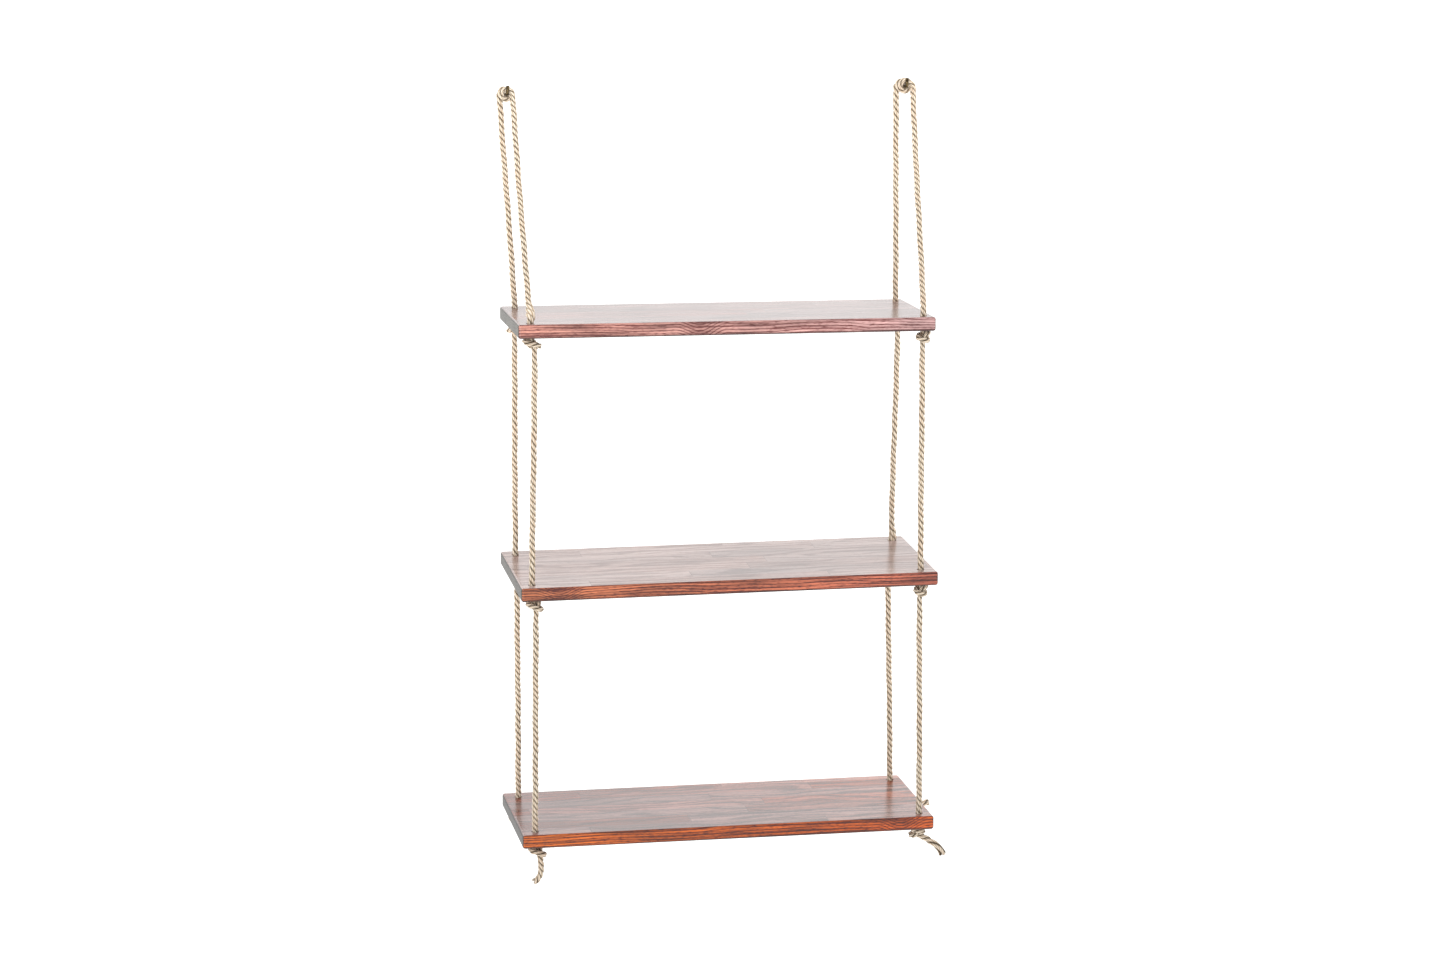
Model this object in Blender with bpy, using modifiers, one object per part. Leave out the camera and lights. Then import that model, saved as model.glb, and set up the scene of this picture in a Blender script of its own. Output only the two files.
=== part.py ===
"""Three wooden boards hung one above the other on two knotted ropes and two wall hooks.

Metres, +Z up. The wall is the plane y = 0 and the shelf hangs in front of it, at -y.
The origin is on the wall, midway between the two hooks' shanks. The front faces -y.
Each rope is one length: it comes up through the three back holes, goes round its hook
one and a half times and comes down through the three front holes. An overhand knot
under every hole carries the board, and the cut ends hang below the lowest knots.
"""
import math

import bmesh
import bpy
import numpy as np
from mathutils import Euler, Matrix, Vector

# Boards
BOARD_DEPTH = 0.175
BOARD_THICKNESS = 0.015
EDGE_ROUND = 0.0016
EDGE_SEGMENTS = 2
WALL_GAP = 0.0035
HOLE_DIAMETER = 0.008
FRONT_SPACING = 0.4235
BACK_SPACING = 0.4222
HOLE_FROM_FRONT = 0.0145
HOLE_FROM_BACK = 0.019
HOLE_SIDES = 20

# Rope, slightly thinner where a knot squeezes it
ROPE_DIAMETER = 0.0058
KNOT_ROPE_DIAMETER = 0.0051
TOUCH_GAP = 0.0003

# Overhand knot: centre distance of touching passes, rope drawn into it and half its height.
# The loose knot it is pulled from, for passes as far apart as LOOSE_PASS, spans LOOSE_SPAN
# of the curve's parameter each way and is stretched by LOOSE_SIZE along x, y and z.
KNOT_PASS = 0.0055
KNOT_LENGTH = 0.080
KNOT_REACH = 0.012
KNOT_POINTS = 84
KNOT_STEP = 0.0024
LOOSE_SPAN = 2.3
LOOSE_BENT = 1.9
LOOSE_PASS = 6.45
LOOSE_SIZE = (6.0, 3.2, 0.75)
UPRIGHT_POINTS = 5
# Points of the lowest knots that belong to the loose cut end
FREED_POINTS = 5

# Pulling the knot tight: rounds, the share of them that draws rope out, and in each round
# the share of its way that an end, a bent point and a touching pass moves. Passes count as
# different ones from NEAR_ALONG times their distance on.
KNOT_ROUNDS = 700
DRAWING_SHARE = 0.7
SPACING_ROUNDS = 4
END_SHARE = 0.05
UNBEND_SHARE = 0.3
PUSH_SHARE = 0.8
NEAR_ALONG = 1.45

# Wall hooks
HOOK_WIRE = 0.0036
HOOK_REACH = 0.0295
HOOK_TIP_HEIGHT = 0.0100
HOOK_BEND = 0.004
HOOK_BEND_STEPS = 5
# Distance below the tip, and share of the wire's thickness there
HOOK_TIP_ROUND = ((0.0010, 1.0), (0.0003, 0.8), (0.0, 0.5))

# The rope's round turns on its hook
TURN_RADIUS = 0.0051
TURN_START_Y = -0.0140
TURN_END_Y = -0.0236
TURN_ANGLE = math.radians(540)
TURN_FLARE = 4
TURN_POINTS = 34

# Free stretches: how hard each end's direction pulls on the curve, and points between
RUN_PULL = 0.040
RUN_POINTS = 7
RIM_PULL = 0.030
HOOK_PULL = 0.045
RISE_POINTS = 12
TAIL_TIP_PULL = 0.045
TAIL_KNOT_PULL = 0.024
TAIL_POINTS = 11

# Tube sides: the curve's bevel resolution
ROPE_SIDES = 2
HOOK_SIDES = 3

# Board: length, drop below the hooks, its middle and its drilling's middle to the right of
# the hooks' middle, then its front-down, left-down and plan turn in degrees
BOARDS = {
    "board_top": dict(
        length=0.4481, drop=0.2397, middle=-0.0028, drilling=-0.0014,
        nose=-1.3, lean=0.15, turn=-0.6,
    ),
    "board_middle": dict(
        length=0.4537, drop=0.5145, middle=-0.0005, drilling=-0.0020,
        nose=1.9, lean=-0.3, turn=0.3,
    ),
    "board_bottom": dict(
        length=0.4523, drop=0.7878, middle=-0.0015, drilling=-0.0007,
        nose=0.5, lean=-0.1, turn=0.3,
    ),
}
LOW_TO_HIGH = ("board_bottom", "board_middle", "board_top")

# Hook: place of its shank on the wall, and how far its tip leans to the right in degrees
HOOKS = {
    "hook_left": dict(x=-0.2193, z=-0.0015, lean=5),
    "hook_right": dict(x=0.2193, z=0.0015, lean=4),
}

# Rope: its hook, the side of its holes, how far its legs stand from the hook's shank, the
# turn of each leg's knots from the lowest up in degrees, and each cut end's tip, from its
# hole under the lowest board, with the way it points there
ROPES = {
    "rope_left": dict(
        hook="hook_left", side=-1, spread=0.0062,
        back_turns=(-60, 100, -90), front_turns=(150, 128, 180),
        back_tip=(0.026, 0.004, -0.031), back_aim=(0.9, 0.3, -0.3),
        front_tip=(-0.0015, -0.001, -0.0407), front_aim=(-0.85, 0.0, -0.5),
    ),
    "rope_right": dict(
        hook="hook_right", side=1, spread=0.0080,
        back_turns=(-60, 45, 107), front_turns=(-60, 72, 68),
        back_tip=(0.0445, 0.0, -0.0135), back_aim=(0.98, 0.0, 0.2),
        front_tip=(0.0275, 0.001, -0.033), front_aim=(0.35, 0.0, -0.94),
    ),
}

WOOD = dict(color=(0.36, 0.13, 0.07), roughness=0.25, metallic=0.0)
ROPE = dict(color=(0.66, 0.54, 0.38), roughness=0.9, metallic=0.0)
METAL = dict(color=(0.16, 0.11, 0.06), roughness=0.45, metallic=1.0)


def clear_scene():
    """Removes whatever the scene holds."""
    for thing in list(bpy.data.objects):
        bpy.data.objects.remove(thing, do_unlink=True)


def new_collection(name):
    group = bpy.data.collections.new(name)
    bpy.context.scene.collection.children.link(group)
    return group


def new_material(name, color, roughness, metallic):
    """A Principled material with one colour."""
    material = bpy.data.materials.new(name)
    material.use_nodes = True
    shader = material.node_tree.nodes["Principled BSDF"]
    shader.inputs["Base Color"].default_value = (*color, 1.0)
    shader.inputs["Roughness"].default_value = roughness
    shader.inputs["Metallic"].default_value = metallic
    return material


def move_to(group, thing):
    """Leaves the object in one collection only."""
    for other in list(thing.users_collection):
        other.objects.unlink(thing)
    group.objects.link(thing)


def board_frame(name):
    """The matrix that places a board's own axes, centred in its thickness."""
    row = BOARDS[name]
    angles = [math.radians(row[key]) for key in ("nose", "lean", "turn")]
    middle = Vector((row["middle"], -WALL_GAP - BOARD_DEPTH / 2, -row["drop"]))
    return Matrix.Translation(middle) @ Euler(angles).to_matrix().to_4x4()


def hole_xy(name, side, leg):
    """A hole's centre in its board's own axes."""
    middle = BOARDS[name]["drilling"] - BOARDS[name]["middle"]
    if leg == "front":
        return middle + side * FRONT_SPACING / 2, HOLE_FROM_FRONT - BOARD_DEPTH / 2
    return middle + side * BACK_SPACING / 2, BOARD_DEPTH / 2 - HOLE_FROM_BACK


def make_board(name, group, cutters, material):
    """A plank with eased edges and a rope hole near each corner."""
    bpy.ops.mesh.primitive_cube_add(size=1)
    board = bpy.context.object
    board.name = name
    board.dimensions = (BOARDS[name]["length"], BOARD_DEPTH, BOARD_THICKNESS)
    bpy.ops.object.transform_apply(location=False, rotation=False, scale=True)
    board.matrix_world = board_frame(name)
    board.data.materials.append(material)
    move_to(group, board)

    easing = board.modifiers.new("eased edges", "BEVEL")
    easing.width = EDGE_ROUND
    easing.segments = EDGE_SEGMENTS

    drill = bmesh.new()
    for side in (-1, 1):
        for leg in ("front", "back"):
            x, y = hole_xy(name, side, leg)
            bmesh.ops.create_cone(
                drill, cap_ends=True, segments=HOLE_SIDES,
                radius1=HOLE_DIAMETER / 2, radius2=HOLE_DIAMETER / 2,
                depth=2 * BOARD_THICKNESS, matrix=Matrix.Translation((x, y, 0)),
            )
    cutter_mesh = bpy.data.meshes.new(name + "_holes")
    drill.to_mesh(cutter_mesh)
    drill.free()
    cutter = bpy.data.objects.new(name + "_holes", cutter_mesh)
    cutter.matrix_world = board_frame(name)
    cutter.hide_render = True
    cutter.display_type = "WIRE"
    cutters.objects.link(cutter)

    drilled = board.modifiers.new("rope holes", "BOOLEAN")
    drilled.operation = "DIFFERENCE"
    drilled.object = cutter
    return board


def along(points):
    """Distance along a path, at each of its points."""
    steps = np.linalg.norm(np.diff(points, axis=0), axis=1)
    return np.concatenate([[0.0], np.cumsum(steps)])


def resampled(points, step):
    """The same path with evenly spaced points."""
    arc = along(points)
    places = np.linspace(0, arc[-1], int(round(arc[-1] / step)) + 1)
    return np.stack([np.interp(places, arc, points[:, axis]) for axis in range(3)], axis=1)


def keep_spacing(points, step):
    """Pulls each pair of neighbours to one spacing, every second pair at a time."""
    for first in (0, 1):
        a = points[first:-1:2]
        b = points[first + 1::2]
        apart = b - a
        reach = np.linalg.norm(apart, axis=1, keepdims=True)
        shift = 0.5 * (reach - step) * apart / reach
        a += shift
        b -= shift


def hold_upright(points, order, height, step):
    """Draws one end of the path to a height, its last few points on one upright line."""
    upright = points[order, :2].mean(axis=0)
    way = math.copysign(1, height)
    level = points[order[0], 2] + (height - points[order[0], 2]) * END_SHARE
    for place, index in enumerate(order):
        points[index, :2] = upright
        points[index, 2] = level - way * place * step


def push_apart(points, step):
    """Moves passes of the rope that lie closer than touching away from each other."""
    index = np.arange(len(points))
    far_along = np.abs(index[:, None] - index[None]) * step >= NEAR_ALONG * KNOT_PASS
    apart = points[:, None] - points[None]
    reach = np.linalg.norm(apart, axis=2) + 1e-9
    close = far_along & (reach < KNOT_PASS)
    depth = np.where(close, 0.5 * (KNOT_PASS - reach) / reach, 0)
    share = np.sqrt(np.maximum(close.sum(axis=1), 1))[:, None]
    points += PUSH_SHARE * (depth[:, :, None] * apart).sum(axis=1) / share


def tight_knot():
    """An overhand knot's centre line, pulled tight from a loose one.

    The loose knot is the long trefoil (t^3 - 3t, t^4 - 4t^2, t^5 - 10t). It runs from its
    lower end to its upper end, which lies on the z axis.
    """
    t = np.linspace(-LOOSE_SPAN, LOOSE_SPAN, KNOT_POINTS)
    trefoil = np.stack([t**3 - 3 * t, t**4 - 4 * t**2, t**5 - 10 * t], axis=1)
    knot = trefoil * LOOSE_SIZE * KNOT_PASS / LOOSE_PASS
    end_share = np.clip((np.abs(t) - LOOSE_BENT) / (LOOSE_SPAN - LOOSE_BENT), 0, 1)
    knot[:, :2] *= 1 - end_share[:, None] ** 2
    loose_length = along(knot)[-1]
    low = list(range(UPRIGHT_POINTS))
    high = [-1 - index for index in low]
    for tightening in range(KNOT_ROUNDS):
        pulled = min(1.0, tightening / (DRAWING_SHARE * KNOT_ROUNDS))
        step = (loose_length + (KNOT_LENGTH - loose_length) * pulled) / (KNOT_POINTS - 1)
        hold_upright(knot, low, -KNOT_REACH, step)
        hold_upright(knot, high, KNOT_REACH, step)
        knot[2:-2] += UNBEND_SHARE * ((knot[1:-3] + knot[3:-1]) / 2 - knot[2:-2])
        for _ in range(SPACING_ROUNDS):
            keep_spacing(knot, step)
        push_apart(knot, step)
    knot[:, :2] -= knot[-1, :2]
    return knot


def knot_seat(knot):
    """How high above the knot's middle the board's underside lies."""
    room_in_hole = (HOLE_DIAMETER - KNOT_ROPE_DIAMETER) / 2 - TOUCH_GAP
    outside_hole = np.hypot(knot[:, 0], knot[:, 1]) > room_in_hole
    return knot[outside_hole, 2].max() + KNOT_ROPE_DIAMETER / 2 + TOUCH_GAP


def placed_knot(knot, board, side, leg, turn):
    """The knot under one hole, turned about the hole's axis, in world space."""
    x, y = hole_xy(board, side, leg)
    under = Vector((x, y, -BOARD_THICKNESS / 2 - knot_seat(knot)))
    turned = Matrix.Rotation(math.radians(turn), 4, "Z")
    place = board_frame(board) @ Matrix.Translation(under) @ turned
    return np.array([place @ Vector(point) for point in resampled(knot, KNOT_STEP)])


def wide(points, diameter=ROPE_DIAMETER):
    """The points with the rope's diameter there as a fourth column."""
    points = np.atleast_2d(points)
    return np.column_stack([points, np.full(len(points), diameter)])


def sweep(start, start_pull, end, end_pull, count):
    """Points inside a cubic from start to end that leaves and arrives along the pulls."""
    t = np.linspace(0, 1, count + 2)[1:-1, None]
    return (
        (2 * t**3 - 3 * t**2 + 1) * start + (t**3 - 2 * t**2 + t) * start_pull
        + (3 * t**2 - 2 * t**3) * end + (t**3 - t**2) * end_pull
    )


def round_turns(hook, spread):
    """The rope's one and a half turns on its hook, from the back leg to the front leg."""
    u = np.linspace(0, 1, TURN_POINTS)
    angle = math.pi - TURN_ANGLE * u
    radius = TURN_RADIUS + (spread - TURN_RADIUS) * np.abs(2 * u - 1) ** TURN_FLARE
    x = hook["x"] + radius * np.cos(angle)
    y = TURN_START_Y + (TURN_END_Y - TURN_START_Y) * u
    z = hook["z"] + radius * np.sin(angle)
    return np.stack([x, y, z], axis=1)


def leg_path(knot, row, leg):
    """One leg of a rope, from its cut end up to the top board's upper face."""
    side = row["side"]
    stretches = []
    for board, turn in zip(LOW_TO_HIGH, row[leg + "_turns"]):
        x, y = hole_xy(board, side, leg)
        frame = board_frame(board)
        normal = np.array(frame.col[2][:3])
        under = np.array(frame @ Vector((x, y, -BOARD_THICKNESS / 2)))
        mouth = np.array(frame @ Vector((x, y, BOARD_THICKNESS / 2)))
        tied = placed_knot(knot, board, side, leg, turn)
        if stretches:
            link = sweep(stretches[-1][-1, :3], RUN_PULL * normal, tied[0], RUN_PULL * normal, RUN_POINTS)
        else:
            tip = under + row[leg + "_tip"]
            stretches.append(wide(tip))
            inward = -TAIL_TIP_PULL * np.array(row[leg + "_aim"])
            tied = tied[FREED_POINTS:]
            out_of_knot = (tied[1] - tied[0]) / KNOT_STEP
            link = sweep(tip, inward, tied[0], TAIL_KNOT_PULL * out_of_knot, TAIL_POINTS)
        stretches += [wide(link), wide(tied, KNOT_ROPE_DIAMETER), wide(mouth)]
    return np.concatenate(stretches)


def rope_path(knot, row):
    """A rope's whole centre line, with its diameter at each point."""
    back = leg_path(knot, row, "back")
    front = leg_path(knot, row, "front")[::-1]
    turns = round_turns(HOOKS[row["hook"]], row["spread"])
    at_rim = np.array((0, 0, RIM_PULL))
    at_hook = np.array((0, 0, HOOK_PULL))
    rise = sweep(back[-1, :3], at_rim, turns[0], at_hook, RISE_POINTS)
    fall = sweep(turns[-1], -at_rim, front[0, :3], -at_rim, RISE_POINTS)
    return np.concatenate([back, wide(rise), wide(turns), wide(fall), front])


def make_tube(name, path, diameter, sides, group, material):
    """A round tube along a path whose fourth column is its diameter."""
    line = bpy.data.curves.new(name, "CURVE")
    line.dimensions = "3D"
    line.bevel_depth = diameter / 2
    line.bevel_resolution = sides
    line.use_fill_caps = True
    spline = line.splines.new("POLY")
    spline.points.add(len(path) - 1)
    for point, (x, y, z, width) in zip(spline.points, path):
        point.co = (x, y, z, 1)
        point.radius = width / diameter
    tube = bpy.data.objects.new(name, line)
    line.materials.append(material)
    group.objects.link(tube)
    return tube


def hook_path(hook):
    """A square-bent hook: out from the wall, round one bend and up to a blunt tip."""
    bend_y = -HOOK_REACH + HOOK_BEND
    profile = [(0, 0, 1), (bend_y, 0, 1)]
    for step in range(1, HOOK_BEND_STEPS + 1):
        angle = math.pi / 2 * step / HOOK_BEND_STEPS
        rise = HOOK_BEND * (1 - math.cos(angle))
        profile.append((bend_y - HOOK_BEND * math.sin(angle), rise, 1))
    for below_tip, share in HOOK_TIP_ROUND:
        profile.append((-HOOK_REACH, HOOK_TIP_HEIGHT - below_tip, share))
    lean = math.radians(hook["lean"])
    return [
        (hook["x"] + rise * math.sin(lean), y, hook["z"] + rise * math.cos(lean), share * HOOK_WIRE)
        for y, rise, share in profile
    ]


clear_scene()
shelf = new_collection("rope_hung_wall_shelf")
cutters = new_collection("cutters")
wood = new_material("varnished_hardwood", **WOOD)
cotton = new_material("laid_rope", **ROPE)
bronze = new_material("antique_bronze", **METAL)

for board_name in BOARDS:
    make_board(board_name, shelf, cutters, wood)
overhand = tight_knot()
for rope_name, rope_row in ROPES.items():
    rope_line = rope_path(overhand, rope_row)
    make_tube(rope_name, rope_line, ROPE_DIAMETER, ROPE_SIDES, shelf, cotton)
for hook_name, hook_row in HOOKS.items():
    make_tube(hook_name, hook_path(hook_row), HOOK_WIRE, HOOK_SIDES, shelf, bronze)
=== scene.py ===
"""A wall shelf: three varnished hardwood boards strung on two knotted ropes.

Each rope hangs from a small bronze hook in the wall. Everything is in metres. The wall is
the plane y = 0, the shelf hangs at -y, and x runs to the viewer's right.
"""
import math

import bpy
import numpy as np
from mathutils import Euler, Matrix, Vector


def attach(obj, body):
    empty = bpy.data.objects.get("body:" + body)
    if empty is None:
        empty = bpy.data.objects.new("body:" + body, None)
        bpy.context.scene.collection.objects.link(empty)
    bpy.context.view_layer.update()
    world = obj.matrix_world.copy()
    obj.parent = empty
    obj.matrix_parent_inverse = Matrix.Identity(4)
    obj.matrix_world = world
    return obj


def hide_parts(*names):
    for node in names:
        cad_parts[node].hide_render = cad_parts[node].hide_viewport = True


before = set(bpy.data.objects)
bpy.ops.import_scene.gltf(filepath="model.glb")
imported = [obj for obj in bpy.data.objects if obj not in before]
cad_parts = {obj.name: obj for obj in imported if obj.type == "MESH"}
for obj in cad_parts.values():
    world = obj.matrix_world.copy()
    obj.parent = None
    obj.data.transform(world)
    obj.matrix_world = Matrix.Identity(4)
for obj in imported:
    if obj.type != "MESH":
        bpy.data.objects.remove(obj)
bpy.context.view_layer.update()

# Camera. It stands to the left of the shelf and over it, with a long lens that looks down a
# little. Colours are shown as they are, so that a white room is plain white.
CAMERA_PLACE = (-0.7443, -4.2957, 0.3662)
CAMERA_YAW = math.radians(10.07)
CAMERA_PITCH = math.radians(10.391)
CAMERA_ROLL = math.radians(0.10)
CAMERA_LENS = 99.94

bpy.ops.object.select_all(action="DESELECT")
bpy.ops.object.camera_add()
camera = bpy.context.object
camera.data.sensor_width = 36.0
camera.data.lens = CAMERA_LENS
camera.data.clip_end = 200.0
aim = Euler((math.pi / 2 - CAMERA_PITCH, 0, -CAMERA_YAW)).to_matrix().to_4x4()
camera.matrix_world = Matrix.Translation(CAMERA_PLACE) @ aim @ Matrix.Rotation(CAMERA_ROLL, 4, "Z")
bpy.context.scene.camera = camera
bpy.context.scene.view_settings.view_transform = "Standard"

# Studio. White all round and a pale floor far below, which is what the varnish mirrors. One
# large soft light stands at the viewer's left, level with the shelf's middle. The room is
# brighter behind the shelf than in front of it, and brighter still overhead.
FLOOR_BELOW = 1.9
FLOOR_SIZE = 60
SOFT_BOX_PLACE = (-1.6, -3.3, -0.5)
SOFT_BOX_AIM = (0.0, -0.09, -0.45)
SOFT_BOX_SIZE = 1.6
SOFT_BOX_POWER = 27
ROOM_IN_FRONT = 0.8
ROOM_BEHIND = 1.33
ROOM_OVERHEAD = 0.9


def paint(code):
    """An sRGB hex colour as linear red, green, blue and alpha."""
    parts = [int(code[place:place + 2], 16) / 255 for place in (0, 2, 4)]
    linear = [part / 12.92 if part <= 0.04045 else ((part + 0.055) / 1.055) ** 2.4 for part in parts]
    return (*linear, 1.0)


def add(tree, kind, inputs=(), take=0, **settings):
    """Adds a node with its settings and links, and gives the output that is taken from it.

    Inputs are values or other nodes' outputs, by the socket's name or in the sockets' order.
    """
    node = tree.nodes.new("ShaderNode" + kind)
    for name, value in settings.items():
        setattr(node, name, value)
    named = inputs if isinstance(inputs, dict) else dict(enumerate(inputs))
    for socket, value in named.items():
        if isinstance(value, bpy.types.NodeSocket):
            tree.links.new(value, node.inputs[socket])
        else:
            node.inputs[socket].default_value = value
    return node.outputs[take]


def new_finish(name):
    """An empty node material, its tree and its shader."""
    finish = bpy.data.materials.new(name)
    finish.use_nodes = True
    shader = finish.node_tree.nodes["Principled BSDF"]
    return finish, finish.node_tree, shader


bpy.ops.mesh.primitive_plane_add(size=FLOOR_SIZE, location=(0, 0, -FLOOR_BELOW))
floor = bpy.context.object
floor.name = "studio_floor"
# White backdrop paper, which is quite matt. Its faint fibre is drawn 3 mm wide so that it shows.
paper, tree, shader = new_finish("white_backdrop_paper")
place = add(tree, "TexCoord", take="Object")
fibre = add(tree, "TexNoise", {"Vector": place, "Scale": 300.0, "Detail": 3.0})
white = add(tree, "Mix", {0: fibre, 6: paint("f7f7f6"), 7: paint("fbfbfa")}, 2, data_type="RGBA")
tree.links.new(white, shader.inputs["Base Color"])
shader.inputs["Roughness"].default_value = 0.9
floor.data.materials.append(paper)

studio = bpy.data.worlds.new("white_studio")
studio.use_nodes = True
bpy.context.scene.world = studio
tree = studio.node_tree
way = add(tree, "TexCoord", take="Generated")
back, up = add(tree, "SeparateXYZ", (way,), slice(1, 3))
overhead = add(tree, "MapRange", (up, 0.2, 1.0, 0.0, ROOM_OVERHEAD))
strength = add(tree, "MapRange", (back, -0.8, 0.9, ROOM_IN_FRONT, ROOM_BEHIND))
strength = add(tree, "Math", (strength, overhead), operation="ADD")
tree.nodes["Background"].inputs["Color"].default_value = (1.0, 1.0, 1.0, 1.0)
tree.links.new(strength, tree.nodes["Background"].inputs["Strength"])

bpy.ops.object.light_add(type="AREA", location=SOFT_BOX_PLACE)
soft_box = bpy.context.object
soft_box.name = "soft_box"
soft_box.data.shape = "DISK"
soft_box.data.size = SOFT_BOX_SIZE
soft_box.data.energy = SOFT_BOX_POWER
to_shelf = Vector(SOFT_BOX_AIM) - soft_box.location
soft_box.rotation_euler = to_shelf.to_track_quat("-Z", "Y").to_euler()

# Wall hooks. Square-bent hooks of round brass wire, darkened to an antique bronze. The
# threaded end is in the wall, and the short upturned end keeps the rope's turns on.
HOOK_WIRE = 0.0036
HOOK_REACH = 0.0295
HOOK_TIP_HEIGHT = 0.0100
HOOK_BEND = 0.004
HOOK_TIP_ROUND = 0.0007
HOOK_SIDES = 28
SAME_PLACE = 1e-6
HOOKS = {
    "hook_left": dict(x=-0.2193, z=-0.0015, lean=5),
    "hook_right": dict(x=0.2193, z=0.0015, lean=4),
}


def select_near(piece, test):
    """In edit mode, selects only the vertices whose place passes the test."""
    bpy.ops.object.mode_set(mode="OBJECT")
    for kind in (piece.data.vertices, piece.data.edges, piece.data.polygons):
        kind.foreach_set("select", [False] * len(kind))
    for vertex in piece.data.vertices:
        vertex.select = test(vertex.co)
    bpy.ops.object.mode_set(mode="EDIT")
    bpy.ops.mesh.select_mode(type="VERT")


# Antique bronze is brass darkened in a bath and waxed. It is a deep brown with yellower
# metal in patches of 2 to 3 mm, where the rope and the hand have rubbed it, and a soft gloss.
bronze, tree, shader = new_finish("antique_bronze")
shader.inputs["Metallic"].default_value = 1.0
place = add(tree, "TexCoord", take="Object")
patches = add(tree, "TexNoise", {"Vector": place, "Scale": 420.0, "Detail": 5.0})
rubbed = add(tree, "MapRange", (patches, 0.42, 0.68, 0.0, 1.0))
tint = add(tree, "Mix", {0: rubbed, 6: paint("3a3023"), 7: paint("83704e")}, 2, data_type="RGBA")
tree.links.new(tint, shader.inputs["Base Color"])
tree.links.new(add(tree, "MapRange", (patches, 0.0, 1.0, 0.55, 0.35)), shader.inputs["Roughness"])
pits = add(tree, "Bump", {"Height": patches, "Strength": 0.25, "Distance": 0.0002})
tree.links.new(pits, shader.inputs["Normal"])

for node, row in HOOKS.items():
    # The wire's round section at the wall, drawn out, spun round the bend and drawn up.
    bpy.ops.object.select_all(action="DESELECT")
    bpy.ops.mesh.primitive_circle_add(
        vertices=HOOK_SIDES, radius=HOOK_WIRE / 2, fill_type="NGON", rotation=(math.pi / 2, 0, 0),
    )
    hook = bpy.context.object
    hook.name = node.replace("hook", "bronze_hook")
    bpy.ops.object.transform_apply(location=True, rotation=True, scale=True)
    bpy.ops.object.mode_set(mode="EDIT")
    bpy.ops.mesh.select_all(action="SELECT")
    bpy.ops.mesh.extrude_region_move(
        TRANSFORM_OT_translate={"value": (0, -HOOK_REACH + HOOK_BEND, 0)}
    )
    select_near(hook, lambda spot: spot.y < -HOOK_REACH + HOOK_BEND + SAME_PLACE)
    bpy.ops.mesh.spin(
        steps=12, angle=math.pi / 2, axis=(1, 0, 0),
        center=(0, -HOOK_REACH + HOOK_BEND, HOOK_BEND),
    )
    select_near(hook, lambda spot: abs(spot.z - HOOK_BEND) < SAME_PLACE)
    bpy.ops.mesh.extrude_region_move(
        TRANSFORM_OT_translate={"value": (0, 0, HOOK_TIP_HEIGHT - HOOK_BEND)}
    )
    bpy.ops.mesh.select_all(action="SELECT")
    bpy.ops.mesh.remove_doubles(threshold=SAME_PLACE)
    bpy.ops.mesh.normals_make_consistent(inside=False)
    select_near(hook, lambda spot: abs(spot.z - HOOK_TIP_HEIGHT) < SAME_PLACE)
    bpy.ops.mesh.bevel(offset=HOOK_TIP_ROUND, segments=4, affect="EDGES")
    bpy.ops.object.mode_set(mode="OBJECT")
    lean = Matrix.Rotation(math.radians(row["lean"]), 4, "Y")
    hook.data.transform(Matrix.Translation((row["x"], 0, row["z"])) @ lean)
    bpy.ops.object.shade_smooth_by_angle(angle=math.radians(40))
    hook.data.materials.append(bronze)
    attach(hook, "root")
    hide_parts(node)

# Boards. Each is glued up from narrow staves of a reddish sheesham-like hardwood, planed to
# 15 mm, its arrises eased with a plane, and four 8 mm rope holes drilled near its corners.
BOARD_DEPTH = 0.175
BOARD_THICKNESS = 0.015
EDGE_ROUND = 0.0016
END_ROUND = 0.0028
WALL_GAP = 0.0035
HOLE_DIAMETER = 0.008
HOLE_SIDES = 48
HOLE_EASING = 0.0005
FRONT_SPACING = 0.4235
BACK_SPACING = 0.4222
HOLE_FROM_FRONT = 0.0145
HOLE_FROM_BACK = 0.019
# Drop is how far a board hangs under the hooks, middle and drilling are how far it and its
# holes lie off centre, and nose, lean and turn are its tilt in degrees. Face and edge hold the
# light wood's colour at the left and at the right and that of the dark figure, and sawn holds
# the ends' two colours. Swirl is where a knot has bent the front edge's lines.
BOARDS = {
    "board_top": dict(
        length=0.4481, drop=0.2397, middle=-0.0028, drilling=-0.0014,
        nose=-1.3, lean=0.15, turn=-0.6, seed=3.0,
        face=("8a6a64", "8a6a64", "5a3e38"), contrast=1.0,
        edge=("d09180", "caa2a0", "602f2c"), swirl=-0.030,
        sawn=("5b5750", "322e2a"),
    ),
    "board_middle": dict(
        length=0.4537, drop=0.5145, middle=-0.0005, drilling=-0.0020,
        nose=1.9, lean=-0.3, turn=0.3, seed=11.0,
        face=("ac948d", "a88e86", "725850"), contrast=0.7,
        edge=("c27148", "b9634c", "48130c"), swirl=-0.185,
        sawn=("4a4640", "2a2622"),
    ),
    "board_bottom": dict(
        length=0.4523, drop=0.7878, middle=-0.0015, drilling=-0.0007,
        nose=0.5, lean=-0.1, turn=0.3, seed=23.0,
        face=("80483c", "b0705c", "4e241c"), contrast=1.2,
        edge=("c25e14", "c25410", "461002"), swirl=0.190,
        sawn=("322e2a", "1c1917"),
    ),
}
# One stave's width and length, where the first glue line lies, the glue lines' share of a
# stave's width and length, the rings' spacing up a stave and along a board's face, the reach
# of the swirl that a knot leaves in the edge, and where the painted shade along the edge's
# two arrises starts and ends over its middle.
STAVE_WIDTH = 0.0275
STAVE_LENGTH = 0.260
FIRST_SEAM = 0.13
SEAM_SHARE = 0.010
JOINT_SHARE = 0.003
RING_SPACING = 0.0030
FACE_RING_SPACING = 0.018
SWIRL_REACH = 0.028
UPPER_ARRIS_SHADE = (0.0060, 0.0070)
LOWER_ARRIS_SHADE = (-0.0048, -0.0068)


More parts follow.
